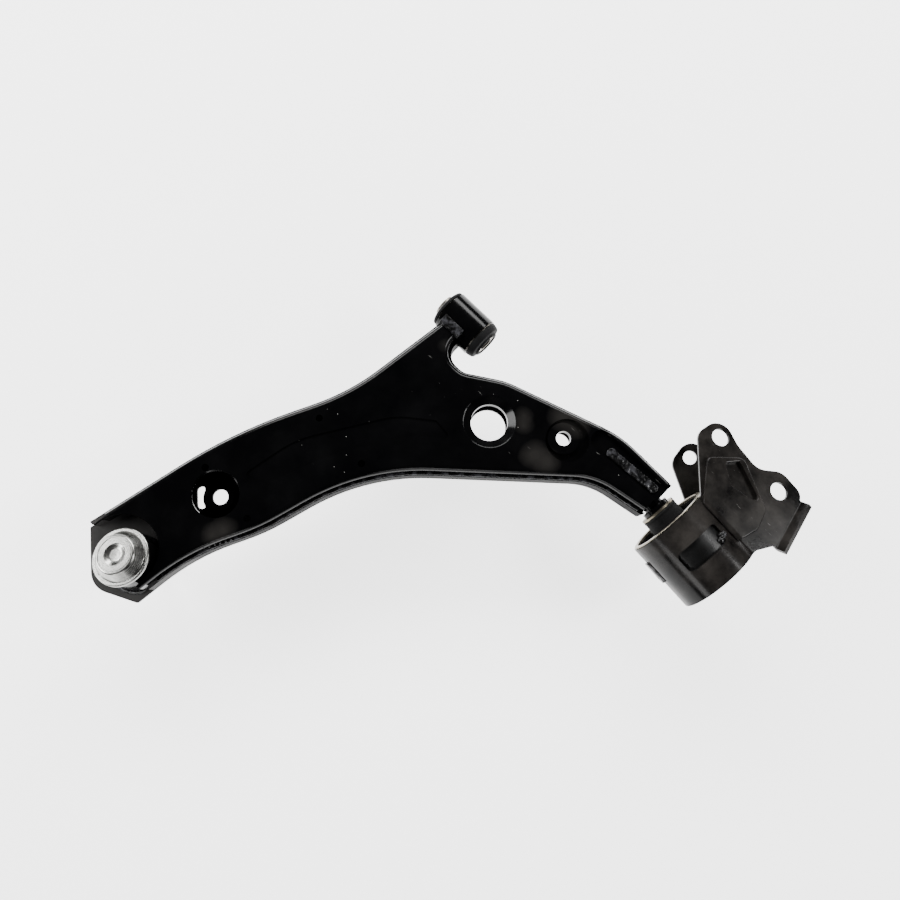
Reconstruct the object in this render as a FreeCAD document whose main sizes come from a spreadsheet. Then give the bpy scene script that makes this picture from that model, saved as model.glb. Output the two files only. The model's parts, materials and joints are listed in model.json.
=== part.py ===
import FreeCAD, Part
import math
import os
import Sketcher

# Front lower control arm: a box of two stamped shells that carries a ball joint at the
# outer end, a small bush at the front inner corner and a pin with a large bush at the rear.
# Frame: origin at the middle of the front bush, +X forward along the front bush's axis,
# +Y outboard towards the ball joint, +Z to the underside of the arm as fitted (the side
# with the ball joint's closing cap). The threaded stud leaves towards -Z.

Vector = FreeCAD.Vector

os.makedirs("parts", exist_ok=True)
doc = FreeCAD.newDocument("control_arm")

SIZES = [
    # stamped shells
    ("sheet_thickness", 3.0),
    ("outer_shell_bottom", -14.0),
    ("outer_shell_rim", 3.0),
    ("inner_shell_top", 14.0),
    ("inner_shell_skirt", -6.0),
    ("nest_gap", 0.15),
    ("shell_edge_round", 4.5),
    ("swage_depth", 1.2),
    ("seam_bead_height", 2.2),
    # holes in the shells
    ("outer_hole_x", 37.5),
    ("outer_hole_y", 261.0),
    ("outer_hole_radius", 20.0),
    ("outer_boss_radius", 16.0),
    ("outer_boss_height", 7.0),
    ("outer_boss_bore", 6.75),
    ("centre_hole_x", -83.5),
    ("centre_hole_y", 52.0),
    ("centre_hole_radius", 16.3),
    ("centre_dish_radius", 23.5),
    ("rear_boss_x", -139.5),
    ("rear_boss_y", 17.5),
    ("rear_boss_radius", 14.0),
    ("rear_boss_bore", 6.5),
    ("rear_access_bore", 9.5),
    ("gauge_hole_radius", 3.0),
    # rear leg groove and its plug weld
    ("groove_depth", 4.5),
    ("slot_half_width", 4.0),
    # ball joint
    ("ball_joint_x", 53.5),
    ("ball_joint_y", 350.3),
    ("ball_joint_z", 18.0),
    ("ball_joint_lean", 14.0),
    ("stud_lean", 3.0),
    ("ball_radius", 14.0),
    ("ball_depth", 19.0),
    ("cap_flange_radius", 24.8),
    ("cap_flange_height", 3.0),
    ("cap_base_radius", 21.5),
    ("cap_disc_radius", 16.5),
    ("cap_height", 9.0),
    ("housing_radius", 19.6),
    ("housing_bore", 16.9),
    ("housing_length", 36.0),
    ("housing_nose_radius", 18.6),
    ("housing_nose_length", 6.0),
    ("collar_radius", 22.6),
    ("collar_length", 33.0),
    ("stud_neck_radius", 6.5),
    ("stud_collar_radius", 9.5),
    ("stud_taper_radius", 9.0),
    ("stud_taper_small_radius", 7.2),
    ("stud_taper_length", 20.0),
    ("stud_thread_radius", 6.0),
    ("stud_thread_length", 22.0),
    ("cotter_hole_radius", 1.75),
    # front bush
    ("front_tube_radius", 18.8),
    ("front_tube_wall", 2.4),
    ("front_tube_length", 36.5),
    ("front_tube_shift", -3.3),
    ("front_outer_sleeve_wall", 1.2),
    ("front_inner_sleeve_radius", 9.6),
    ("front_bore_radius", 6.1),
    ("front_sleeve_length", 53.0),
    ("front_sleeve_shift", -3.8),
    ("fit_gap", 0.05),
    # rear bush
    ("rear_bush_x", -286.0),
    ("rear_bush_y", 6.1),
    ("rear_bush_turn", 4.0),
    ("rear_half_length", 32.0),
    ("rear_pin_radius", 9.0),
    ("rear_spigot_radius", 8.0),
    ("rear_inner_sleeve_radius", 11.0),
    ("rear_rubber_radius", 33.0),
    ("rear_outer_sleeve_radius", 35.0),
    ("rear_rim_radius", 36.6),
    ("arm_end_x", -234.5),
    # rear bracket
    ("bracket_thickness", 2.8),
    ("ear_tilt", 11.0),
    ("ear_bolt_radius", 7.9),
    ("lower_ear_bolt_radius", 6.2),
    ("ear_radius", 14.2),
    ("rib_height", 4.5),
]

sizes = doc.addObject("Spreadsheet::Sheet", "sizes")
for row, (alias, number) in enumerate(SIZES, start=1):
    sizes.set("A%d" % row, alias)
    sizes.set("B%d" % row, str(number))
    sizes.setAlias("B%d" % row, alias)
doc.recompute()


def size(alias):
    return float(sizes.get(alias))


def bind(thing, prop, expression):
    thing.setExpression(prop, expression)


# ---------------------------------------------------------------- local frames
# Each frame's own Z runs along the axis of what it holds.

ALONG_X = FreeCAD.Rotation(Vector(0, 1, 0), Vector(0, 0, 1), Vector(1, 0, 0), "ZXY")
FRONT = FreeCAD.Placement(Vector(0, 0, 0), ALONG_X)

TURN = FreeCAD.Rotation(Vector(0, 0, 1), -size("rear_bush_turn"))
REAR = FreeCAD.Placement(Vector(size("rear_bush_x"), size("rear_bush_y"), 0), TURN * ALONG_X)

JOINT = FreeCAD.Placement(
    Vector(size("ball_joint_x"), size("ball_joint_y"), size("ball_joint_z")),
    FreeCAD.Rotation(Vector(0, 1, 0), size("ball_joint_lean")),
)

STUD = FreeCAD.Placement(
    JOINT.multVec(Vector(0, 0, -size("ball_depth"))),
    FreeCAD.Rotation(Vector(0, 1, 0), size("stud_lean")),
)

nodes = []


def keep(thing, label, placement=None):
    """Name a finished piece; its label names its file."""
    thing.Label = label
    if placement is not None:
        thing.Placement = placement
    nodes.append(thing)
    return thing


# ---------------------------------------------------------------- outline helpers

def corner_cuts(corners):
    """For corners (x, y, radius) give each corner's tangent points and arc centre."""
    cuts = []
    count = len(corners)
    for i in range(count):
        x, y, radius = corners[i]
        here = Vector(x, y, 0)
        before = Vector(corners[i - 1][0], corners[i - 1][1], 0)
        after = Vector(corners[(i + 1) % count][0], corners[(i + 1) % count][1], 0)
        back = (before - here).normalize()
        ahead = (after - here).normalize()
        half_angle = back.getAngle(ahead) / 2
        if radius < 1e-6 or math.pi / 2 - half_angle < 1e-4:
            cuts.append((here, here, None, 0))
            continue
        reach = radius / math.tan(half_angle)
        middle = (back + ahead).normalize()
        centre = here + middle * (radius / math.sin(half_angle))
        cuts.append((here + back * reach, here + ahead * reach, centre, radius))
    return cuts


def outline_edges(corners):
    """Closed outline of straight runs joined by tangent arcs."""
    cuts = corner_cuts(corners)
    edges = []
    for i, (start, end, centre, radius) in enumerate(cuts):
        if centre is not None:
            inward = ((start + end) * 0.5 - centre).normalize()
            edges.append(Part.Arc(start, centre + inward * radius, end))
        following = cuts[(i + 1) % len(cuts)][0]
        if (following - end).Length > 1e-6:
            edges.append(Part.LineSegment(end, following))
    return edges


def signed_area(corners):
    total = 0
    for i, (x, y, _) in enumerate(corners):
        x_next, y_next, _ = corners[(i + 1) % len(corners)]
        total += x * y_next - x_next * y
    return total / 2


def inset(corners, distance, open_runs=(), beyond=0):
    """Move every straight run inwards by distance, and the open runs outwards by beyond."""
    count = len(corners)
    turn = 1 if signed_area(corners) > 0 else -1
    lines = []
    for i in range(count):
        start = Vector(corners[i][0], corners[i][1], 0)
        end = Vector(corners[(i + 1) % count][0], corners[(i + 1) % count][1], 0)
        run = (end - start).normalize()
        inward = Vector(-run.y, run.x, 0) * turn
        move = -beyond if i in open_runs else distance
        lines.append((start + inward * move, run))
    moved = []
    for i in range(count):
        point_a, run_a = lines[i - 1]
        point_b, run_b = lines[i]
        cross = run_a.x * run_b.y - run_a.y * run_b.x
        gap = point_b - point_a
        along = (gap.x * run_b.y - gap.y * run_b.x) / cross
        corner = point_a + run_a * along
        radius = corners[i][2]
        if radius > 0:
            radius += -distance if cross * turn > 0 else distance
        moved.append((corner.x, corner.y, max(radius, 0)))
    return moved


# ---------------------------------------------------------------- feature helpers

def new_body(name):
    return doc.addObject("PartDesign::Body", name)


def plane(body, role):
    for feature in body.Origin.OriginFeatures:
        if feature.Role == role:
            return feature
    raise ValueError(role)


def sketch_on(body, name, role="XY_Plane", offset=0):
    sketch = body.newObject("Sketcher::SketchObject", name)
    sketch.AttachmentSupport = [(plane(body, role), "")]
    sketch.MapMode = "FlatFace"
    sketch.AttachmentOffset = FreeCAD.Placement(Vector(0, 0, offset), FreeCAD.Rotation())
    return sketch


def draw(sketch, corners):
    for edge in outline_edges(corners):
        sketch.addGeometry(edge, False)


def draw_circle(sketch, x, y, radius, expression=None):
    index = sketch.addGeometry(Part.Circle(Vector(x, y, 0), Vector(0, 0, 1), radius), False)
    if expression:
        row = sketch.addConstraint(Sketcher.Constraint("Radius", index, radius))
        bind(sketch, "Constraints[%d]" % row, expression)


def pad(body, sketch, name, length, reverse=False, both_ways=False):
    feature = body.newObject("PartDesign::Pad", name)
    feature.Profile = sketch
    feature.Reversed = reverse
    if both_ways:
        feature.SideType = "Symmetric"
    bind(feature, "Length", length)
    body.Tip = feature
    doc.recompute()
    return feature


def pocket(body, sketch, name, length, reverse=False, both_ways=False):
    feature = body.newObject("PartDesign::Pocket", name)
    feature.Profile = sketch
    feature.Reversed = reverse
    if both_ways:
        feature.SideType = "Symmetric"
    bind(feature, "Length", length)
    before = body.Shape.Volume
    body.Tip = feature
    doc.recompute()
    if body.Shape.Volume >= before:
        raise ValueError(name + " cuts nothing")
    return feature


def revolve(body, sketch, name):
    feature = body.newObject("PartDesign::Revolution", name)
    feature.Profile = sketch
    feature.ReferenceAxis = (sketch, ["V_Axis"])
    feature.Angle = 360
    body.Tip = feature
    doc.recompute()
    return feature


def turned(name, label, corners, placement):
    """A turned piece: its half section drawn as (radius, height, corner round)."""
    body = new_body(name)
    sketch = sketch_on(body, name + "_section", "XZ_Plane")
    draw(sketch, corners)
    revolve(body, sketch, name + "_turning")
    return keep(body, label, placement)


def cylinder(name, radius, length, start=0):
    piece = doc.addObject("Part::Cylinder", name)
    bind(piece, "Radius", radius)
    bind(piece, "Height", length)
    if start:
        bind(piece, "Placement.Base.z", str(start))
    return piece


def tube(name, label, outer, inner, length, start, placement):
    """A plain tube whose sizes are expressions of the sheet."""
    outside = cylinder(name + "_outside", outer, length, start)
    bore = cylinder(name + "_bore", inner, length, start)
    cut = doc.addObject("Part::Cut", name)
    cut.Base = outside
    cut.Tool = bore
    doc.recompute()
    return keep(cut, label, placement)


# ---------------------------------------------------------------- stamped shells

# Plan of the outer shell, corner by corner: x, y and the round at that corner.
ARM_PLAN = [
    (22.3, 372.5, 2),      # trailing tip at the ball joint
    (60.0, 391.0, 20),     # outboard corner
    (99.4, 357.8, 2),      # leading tip at the ball joint
    (69.6, 213.6, 450),    # leading edge bows out
    (24.4, 118.0, 200),    # and tucks in behind the front bush
    (11.0, 6.0, 0),        # neck under the front bush
    (-12.0, 6.0, 0),
    (-12.0, 34.4, 14),     # notch beside the front bush
    (-34.6, 34.4, 15),
    (-67.4, 13.0, 70),
    (-173.5, -22.6, 98),   # rear leg
    (-234.5, -21.5, 3),
    (-234.5, 16.5, 3),
    (-183.6, 25.6, 62),
    (-37.6, 158.6, 195),   # trailing edge
    (-11.7, 254.6, 185),
    (16.2, 312.9, 188),
]
OPEN_RUNS = (0, 1, 5, 11)


def arm_shell(name, plan_inset, low, high, floor_up):
    """One pressed shell: a tray with walls along the long edges and open ends."""
    body = new_body(name)
    outline = sketch_on(body, name + "_plan", offset=size(low))
    draw(outline, inset(ARM_PLAN, plan_inset))
    pad(body, outline, name + "_blank", "sizes.%s - sizes.%s" % (high, low))
    if not floor_up:
        rounded_top(body, name)
    level = size(low) if not floor_up else size(high)
    hollow = sketch_on(body, name + "_hollow_plan", offset=level)
    wall = plan_inset + size("sheet_thickness")
    draw(hollow, inset(ARM_PLAN, wall, OPEN_RUNS, 12))
    depth_text = "sizes.%s - sizes.%s - sizes.sheet_thickness" % (high, low)
    pocket(body, hollow, name + "_hollow", depth_text, reverse=not floor_up)
    return body


def rounded_top(body, name):
    """Round the long edges of the pressed top face."""
    top = size("inner_shell_top")
    edges = []
    for number, edge in enumerate(body.Shape.Edges, start=1):
        box = edge.BoundBox
        flat = abs(box.ZMin - top) < 1e-4 and abs(box.ZMax - top) < 1e-4
        at_leg_end = box.XMax < size("arm_end_x") + 4
        at_neck = box.YMax < 7 and box.XMin > -20
        at_ball_joint = box.YMax > 371 and edge.Length < 80
        if flat and not at_leg_end and not at_neck and not at_ball_joint:
            edges.append("Edge%d" % number)
    base = body.Tip
    fillet = body.newObject("PartDesign::Fillet", name + "_edge_round")
    fillet.Base = (base, edges)
    bind(fillet, "Radius", "sizes.shell_edge_round")
    body.Tip = fillet
    doc.recompute()


def joint_seat(body, name):
    """Shell cut away where the ball joint's leaning collar passes through it."""
    way = cylinder(name + "_way", "sizes.collar_radius + sizes.fit_gap", "80")
    way.Placement = JOINT.multiply(FreeCAD.Placement(Vector(0, 0, -60), FreeCAD.Rotation()))
    cut = doc.addObject("Part::Cut", name)
    cut.Base = body
    cut.Tool = way
    doc.recompute()
    return cut


def saddle_cut(body, name):
    """Both shells end on the front bush tube."""
    sketch = sketch_on(body, name, "YZ_Plane")
    draw_circle(sketch, 0, 0, size("front_tube_radius") + 0.05,
                "sizes.front_tube_radius + sizes.fit_gap")
    pocket(body, sketch, name + "_cut", "4 * sizes.front_tube_radius", both_ways=True)


def pin_cut(body, name):
    """The rear pin lies along the leg; the shells end clear of its round."""
    start = size("arm_end_x") - 1
    turn = size("rear_bush_turn")
    y_there = size("rear_bush_y") - (start - size("rear_bush_x")) * math.tan(math.radians(turn))
    sketch = sketch_on(body, name, "YZ_Plane")
    sketch.AttachmentOffset = FreeCAD.Placement(
        Vector(y_there, 0, start), FreeCAD.Rotation(Vector(0, 1, 0), -turn))
    draw_circle(sketch, 0, 0, size("rear_pin_radius"), "sizes.rear_pin_radius + sizes.fit_gap")
    pocket(body, sketch, name + "_cut", "140", both_ways=True)


def round_hole(body, name, x, y, radius, start, length, reverse=False):
    sketch = sketch_on(body, name, offset=start)
    draw_circle(sketch, size(x), size(y), size(radius), "sizes." + radius)
    pocket(body, sketch, name + "_cut", length, reverse=reverse)


def lift(body, name, corners, start, length, reverse=False):
    """Metal added under a pressed place, so that the sheet keeps its thickness there."""
    sketch = sketch_on(body, name, offset=start)
    draw(sketch, corners)
    return pad(body, sketch, name + "_pad", length, reverse=reverse)


def ring(x, y, radius):
    """A circle as an outline of four rounded corners."""
    r = radius
    return [(x - r, y - r, r), (x + r, y - r, r), (x + r, y + r, r), (x - r, y + r, r)]


def circle_edges(body, radius, level):
    """Names of the round edges of this radius at this height."""
    edges = []
    for number, edge in enumerate(body.Shape.Edges, start=1):
        curve = edge.Curve
        if isinstance(curve, Part.Circle) and abs(curve.Radius - radius) < 1e-3:
            if abs(curve.Center.z - level) < 1e-3:
                edges.append("Edge%d" % number)
    return edges


def round_circle(body, name, radius, level, amount):
    """Round the circular edge of this radius at this height."""
    edges = circle_edges(body, radius, level)
    base = body.Tip
    fillet = body.newObject("PartDesign::Fillet", name)
    fillet.Base = (base, edges)
    fillet.Radius = amount
    body.Tip = fillet
    doc.recompute()


def chamfer_circle(body, name, radius, level, amount, second=None):
    """Bevel the round edge of this radius at this height."""
    edges = circle_edges(body, radius, level)
    base = body.Tip
    bevel = body.newObject("PartDesign::Chamfer", name)
    bevel.Base = (base, edges)
    bevel.Size = amount
    if second is not None:
        bevel.ChamferType = "Two distances"
        bevel.Size2 = second
    body.Tip = bevel
    doc.recompute()


def wall_ends(body):
    """The tray's two walls stop short of its open end, so its floor stands out as a tongue."""
    sketch = sketch_on(body, "wall_ends", offset=size("outer_shell_bottom") + size("sheet_thickness"))
    draw(sketch, [(0, 366, 0), (26, 352, 0), (40, 372, 0), (40, 400, 0), (0, 400, 0)])
    draw(sketch, [(85, 353, 0), (120, 350, 0), (120, 380, 0), (85, 380, 0)])
    pocket(body, sketch, "wall_ends_cut", "30", reverse=True)


def build_outer_shell():
    """The outer shell is a tray open towards +Z."""
    body = arm_shell("outer_shell", 0, "outer_shell_bottom", "outer_shell_rim", True)
    wall_ends(body)
    floor = size("outer_shell_bottom") + size("sheet_thickness")
    x, y = size("outer_hole_x"), size("outer_hole_y")
    boss = sketch_on(body, "outer_boss", offset=floor - 1)
    draw_circle(boss, x, y, size("outer_boss_radius"), "sizes.outer_boss_radius")
    pad(body, boss, "outer_boss_pad", "sizes.outer_boss_height + 1")
    chamfer_circle(body, "outer_boss_cone", size("outer_boss_radius"),
                   floor + size("outer_boss_height"), 4.5)
    below = size("outer_shell_bottom") - 1
    under = sketch_on(body, "outer_boss_under", offset=below)
    draw_circle(under, x, y, size("outer_boss_radius") - 5)
    pocket(body, under, "outer_boss_under_cut", "sizes.outer_boss_height + 1", reverse=True)
    round_hole(body, "outer_boss_hole", "outer_hole_x", "outer_hole_y", "outer_boss_bore",
               below, "40", True)
    slot = sketch_on(body, "drain_slot", offset=below)
    draw(slot, [(x + 8, y + 22, 4), (x + 24, y + 8, 4), (x + 18, y + 4, 2), (x + 4, y + 16.5, 2)])
    pocket(body, slot, "drain_slot_cut", "sizes.sheet_thickness + 2", reverse=True)
    round_hole(body, "centre_hole", "centre_hole_x", "centre_hole_y", "centre_hole_radius",
               below, "20", True)
    round_hole(body, "rear_access_hole", "rear_boss_x", "rear_boss_y", "rear_access_bore",
               below, "20", True)
    saddle_cut(body, "front_saddle")
    keep(joint_seat(body, "outer_shell_seat"), "lower_arm_shell")


def gauge_holes(body):
    """Small round holes that located the blank in the press."""
    sketch = sketch_on(body, "gauge_holes", offset=size("inner_shell_top") + 1)
    for x, y in ((60.5, 251.4), (3.5, 256.2), (23.0, 153.6), (-31.2, 155.9)):
        draw_circle(sketch, x, y, size("gauge_hole_radius"), "sizes.gauge_hole_radius")
    pocket(body, sketch, "gauge_holes_cut", "sizes.sheet_thickness + 2")


def swage(body):
    """Shallow pressed band from the outer hole to the centre hole."""
    band = [(34, 236, 4), (24, 181, 90), (-22, 106, 60), (-50, 84, 3),
            (-72, 86, 3), (-46, 106, 80), (-9, 163, 110), (14, 224, 4)]
    sketch = sketch_on(body, "swage", offset=size("inner_shell_top") + 1)
    draw(sketch, band)
    pocket(body, sketch, "swage_cut", "sizes.swage_depth + 1")


GROOVE_PLAN = [(-154.0, 5.5, 9), (-156.0, -13.5, 9), (-245.0, -15.0, 0), (-245.0, 0.0, 0)]
GROOVE_UNDER = [(-152.0, 7.5, 9), (-154.0, -15.0, 9), (-234.4, -18.5, 0), (-234.4, 2.0, 0)]
SLOT_PLAN = [(-174.0, 1.6, 3.9), (-174.0, -7.4, 3.9), (-229.0, -10.6, 3.9), (-229.0, -1.8, 3.9)]


def build_inner_shell():
    """The inner shell nests into the outer one and closes the box towards +Z."""
    wall = size("sheet_thickness") + size("nest_gap")
    body = arm_shell("inner_shell", wall, "inner_shell_skirt", "inner_shell_top", False)
    top = size("inner_shell_top")
    under = top - size("sheet_thickness") + 0.5
    above = top + 1
    lift(body, "groove_under", GROOVE_UNDER, under,
         "sizes.groove_depth + 0.5", reverse=True)
    centre = (size("centre_hole_x"), size("centre_hole_y"))
    lift(body, "dish_under", ring(*centre, size("centre_dish_radius")), under, "8", True)
    rear = (size("rear_boss_x") - 3.5, size("rear_boss_y") - 1.0)
    lift(body, "rear_dish_under", ring(*rear, 19.5), under, "5", True)
    groove = sketch_on(body, "groove", offset=above)
    draw(groove, GROOVE_PLAN)
    pocket(body, groove, "groove_cut", "sizes.groove_depth + 1")
    slot = sketch_on(body, "weld_slot", offset=above)
    draw(slot, SLOT_PLAN)
    pocket(body, slot, "weld_slot_cut", "20")
    dish = sketch_on(body, "rear_dish", offset=above)
    draw(dish, ring(*rear, 19.0))
    draw(dish, ring(size("rear_boss_x"), size("rear_boss_y"), size("rear_boss_radius")))
    pocket(body, dish, "rear_dish_cut", "5")
    seat = sketch_on(body, "rear_seat", offset=above)
    draw(seat, ring(size("rear_boss_x"), size("rear_boss_y"), size("rear_boss_radius") + 0.1))
    pocket(body, seat, "rear_seat_cut", "2")
    round_hole(body, "rear_boss_hole", "rear_boss_x", "rear_boss_y", "rear_boss_bore", above,
               "30")
    round_hole(body, "centre_hole", "centre_hole_x", "centre_hole_y", "centre_hole_radius", above,
               "30")
    chamfer_circle(body, "centre_dish", size("centre_hole_radius"), top, 7, 5)
    round_circle(body, "centre_dish_brow", size("centre_hole_radius") + 7, top, 2.5)
    round_hole(body, "outer_hole", "outer_hole_x", "outer_hole_y", "outer_hole_radius", above,
               "sizes.sheet_thickness + 4")
    chamfer_circle(body, "outer_hole_edge", size("outer_hole_radius"), top, 1.0)
    swage(body)
    gauge_holes(body)
    mouth = sketch_on(body, "joint_mouth", offset=above)
    draw(mouth, [(27.5, 316.5, 29), (89.8, 316.5, 33), (89.8, 337, 0), (150, 332, 0), (150, 430, 0),
                 (-20, 430, 0), (-20, 360, 0), (27.5, 358, 0)])
    pocket(body, mouth, "joint_mouth_cut", "40")
    saddle_cut(body, "front_saddle")
    pin_cut(body, "rear_pin_way")
    keep(joint_seat(body, "inner_shell_seat"), "upper_arm_shell")


def seam_weld(name, label, keep_side):
    """Bead along the ledge where the inner shell rises out of the outer one."""
    body = new_body(name)
    sketch = sketch_on(body, name + "_ledge", offset=size("outer_shell_rim"))
    draw(sketch, inset(ARM_PLAN, 0.4))
    draw(sketch, inset(ARM_PLAN, size("sheet_thickness") + size("nest_gap") - 0.05))
    pad(body, sketch, name + "_bead", "sizes.seam_bead_height")
    trim = sketch_on(body, name + "_trim", offset=size("outer_shell_rim") - 1)
    draw(trim, keep_side)
    pocket(body, trim, name + "_trim_cut", "sizes.seam_bead_height + 2", reverse=True)
    keep(body, label)


def build_seam_welds():
    """Each bead keeps one stretch of the ledge; the outlines say what is left out."""
    trailing = [(12, 345, 0), (45, 345, 0), (-20, 110, 0), (-160, -8, 0), (-222, 2, 0), (-229, 6, 0),
                (-229, 30, 0), (-250, 30, 0), (-250, -60, 0), (160, -60, 0), (160, 430, 0),
                (-20, 430, 0), (-20, 345, 0)]
    leading = [(60, 335, 0), (130, 335, 0), (130, 430, 0), (-260, 430, 0), (-260, -60, 0),
               (30, -60, 0), (30, 24, 0), (5, 24, 0), (-2, 110, 0), (60, 290, 0)]
    rear = [(-68, -60, 0), (-68, 18, 0), (-173.5, -16, 0), (-228, -15, 0), (-228, -60, 0),
            (-260, -60, 0), (-260, 430, 0), (160, 430, 0), (160, -60, 0)]
    seam_weld("trailing_seam", "trailing_seam_weld", trailing)
    seam_weld("leading_seam", "leading_seam_weld", leading)
    seam_weld("rear_seam", "rear_leg_seam_weld", rear)


def build_plug_weld():
    """Weld that fills the slot over the rear pin."""
    body = new_body("plug_weld")
    sketch = sketch_on(body, "plug_weld_plan", offset=size("inner_shell_top") - size("groove_depth") - 4)
    draw(sketch, inset(SLOT_PLAN, 0.05))
    pad(body, sketch, "plug_weld_fill", "5.2")
    pin_cut(body, "plug_weld_pin")
    keep(body, "rear_pin_plug_weld")


build_outer_shell()
build_inner_shell()
build_seam_welds()
build_plug_weld()


# ---------------------------------------------------------------- front bush

def build_front_bush():
    half = "sizes.front_tube_shift - sizes.front_tube_length / 2"
    tube_in = "(sizes.front_tube_radius - sizes.front_tube_wall)"
    tube("front_tube", "front_bush_tube", "sizes.front_tube_radius", tube_in,
         "sizes.front_tube_length", half, FRONT)
    sleeve_in = "(%s - sizes.front_outer_sleeve_wall)" % tube_in
    tube("front_outer_sleeve", "front_bush_outer_sleeve", tube_in, sleeve_in,
         "sizes.front_tube_length + 2", half + " - 1", FRONT)
    bore = size("front_inner_sleeve_radius") + size("fit_gap")
    outer = size("front_tube_radius") - size("front_tube_wall") - size("front_outer_sleeve_wall")
    rear = size("front_tube_shift") - size("front_tube_length") / 2 - 1
    front = size("front_tube_shift") + size("front_tube_length") / 2 + 1
    lip = size("front_tube_radius") - 0.6
    nose = lip - 1.3
    turned("front_rubber", "front_bush_rubber", [
        (bore, rear - 8.8, 0), (nose - 1.5, rear - 8.8, 0), (nose, rear - 7.4, 1), (lip, rear - 0.1, 1),
        (outer, rear - 0.1, 0), (outer, front + 0.1, 0), (lip, front + 0.1, 0.6),
        (lip, front + 3.2, 1.5), (nose - 3, front + 4.4, 0), (bore, front + 4.4, 0)], FRONT)
    shift = "sizes.front_sleeve_shift - sizes.front_sleeve_length / 2"
    tube("front_inner_sleeve", "front_bush_inner_sleeve", "sizes.front_inner_sleeve_radius",
         "sizes.front_bore_radius", "sizes.front_sleeve_length", shift, FRONT)


def build_front_welds():
    """Beads that join both shells to the front bush tube."""
    for side, label in ((1, "front_bush_weld_upper"), (-1, "front_bush_weld_lower")):
        body = new_body(label)
        sketch = sketch_on(body, label + "_section", "YZ_Plane", -11)
        level = side * (size("inner_shell_top") + 0.02)
        draw(sketch, [(12.3, level, 0), (19.2, level, 0), (17.0, level + side * 2.4, 1.5),
                      (9.7, level + side * 4.2, 0.5), (9.2, level + side * 1.9, 0)])
        pad(body, sketch, label + "_bead", "22")
        saddle_cut(body, label + "_tube")
        keep(body, label)


build_front_bush()
build_front_welds()


# ---------------------------------------------------------------- ball joint

def build_ball_joint():
    flange = size("cap_flange_radius")
    top = size("cap_height")
    disc = size("cap_disc_radius")
    turned("joint_cap", "ball_joint_cap", [
        (0, -size("cap_flange_height"), 0), (flange, -size("cap_flange_height"), 0.6), (flange, 0, 1.1),
        (size("cap_base_radius"), 0, 0.6), (disc, top, 2.2), (0, top, 0)], JOINT)
    cap = doc.getObject("joint_cap")
    ridge = sketch_on(cap, "cap_face", offset=top + 1)
    draw_circle(ridge, 0, 0, 14.1)
    draw_circle(ridge, 0, 0, 14.9)
    pocket(cap, ridge, "cap_face_cut", "1.6")
    dimple = sketch_on(cap, "cap_dimple", "XZ_Plane")
    draw(dimple, [(0, top + 1, 0), (9.4, top + 1, 0), (9.4, top - 0.4, 0.3), (5.5, top - 1.9, 5),
                  (0, top - 2.1, 0)])
    groove = cap.newObject("PartDesign::Groove", "cap_dimple_turning")
    groove.Profile = dimple
    groove.ReferenceAxis = (dimple, ["V_Axis"])
    groove.Angle = 360
    cap.Tip = groove
    doc.recompute()
    cap.Placement = JOINT

    seat = -size("cap_flange_height")
    body_end = seat - size("housing_length")
    nose_end = body_end - size("housing_nose_length")
    bore_end = -30.0
    turned("joint_housing", "ball_joint_housing", [
        (size("housing_bore"), seat, 0), (size("housing_radius"), seat, 0),
        (size("housing_radius"), body_end, 1), (size("housing_nose_radius"), body_end, 0),
        (size("housing_nose_radius"), nose_end, 0.4), (16.9, nose_end, 0), (12.3, bore_end, 0),
        (size("housing_bore"), bore_end, 0)], JOINT)
    ball = size("ball_radius") + 0.03
    liner_top = -5.6
    centre = -size("ball_depth")
    liner = doc.addObject("Part::Feature", "joint_liner")
    outside = Part.makeCylinder(size("housing_bore") - 0.02, liner_top - bore_end,
                                Vector(0, 0, bore_end))
    sphere = Part.makeSphere(ball, Vector(0, 0, centre))
    mouth = Part.makeCylinder(12.25, 12, Vector(0, 0, bore_end - 1))
    throat = Part.makeCylinder(8.0, 20, Vector(0, 0, centre))
    liner.Shape = outside.cut(sphere).cut(mouth).cut(throat)
    keep(liner, "ball_joint_liner", JOINT)
    tube("joint_preload_ring", "ball_joint_preload_ring", "sizes.housing_bore - 0.05", "9",
         "2.4", -5.5, JOINT)
    turned("joint_collar", "ball_joint_collar", [
        (size("housing_radius") + 0.02, seat - 0.1, 0), (size("collar_radius"), seat - 0.1, 1),
        (size("collar_radius"), seat - size("collar_length"), 1.5),
        (size("housing_radius") + 0.02, seat - size("collar_length"), 0)], JOINT)
    groove_level = seat - size("collar_length") - 1.6
    tube("joint_retaining_ring", "ball_joint_retaining_ring", "22.4", "sizes.housing_radius + 0.02",
         "1.5", groove_level, JOINT)
    build_collar_weld()


def build_collar_weld():
    """Bead on the outer shell's floor round the leaning collar."""
    floor = size("outer_shell_bottom") + size("sheet_thickness")
    drop = size("ball_joint_z") - floor
    x = size("ball_joint_x") - drop * math.tan(math.radians(size("ball_joint_lean")))
    bead = doc.addObject("Part::Cone", "collar_bead")
    bind(bead, "Radius1", "sizes.collar_radius + 3.6")
    bind(bead, "Radius2", "sizes.collar_radius + 0.9")
    bead.Height = 3
    bead.Placement.Base = Vector(x, size("ball_joint_y"), floor + 0.02)
    seated = joint_seat(bead, "collar_bead_seat")
    beside_wall = doc.addObject("Part::Box", "collar_bead_end")
    beside_wall.Length = 10
    beside_wall.Width = 80
    beside_wall.Height = 10
    beside_wall.Placement.Base = Vector(14.6, size("ball_joint_y") - 40, floor - 1)
    cut = doc.addObject("Part::Cut", "collar_weld")
    cut.Base = seated
    cut.Tool = beside_wall
    doc.recompute()
    keep(cut, "ball_joint_collar_weld")


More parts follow.
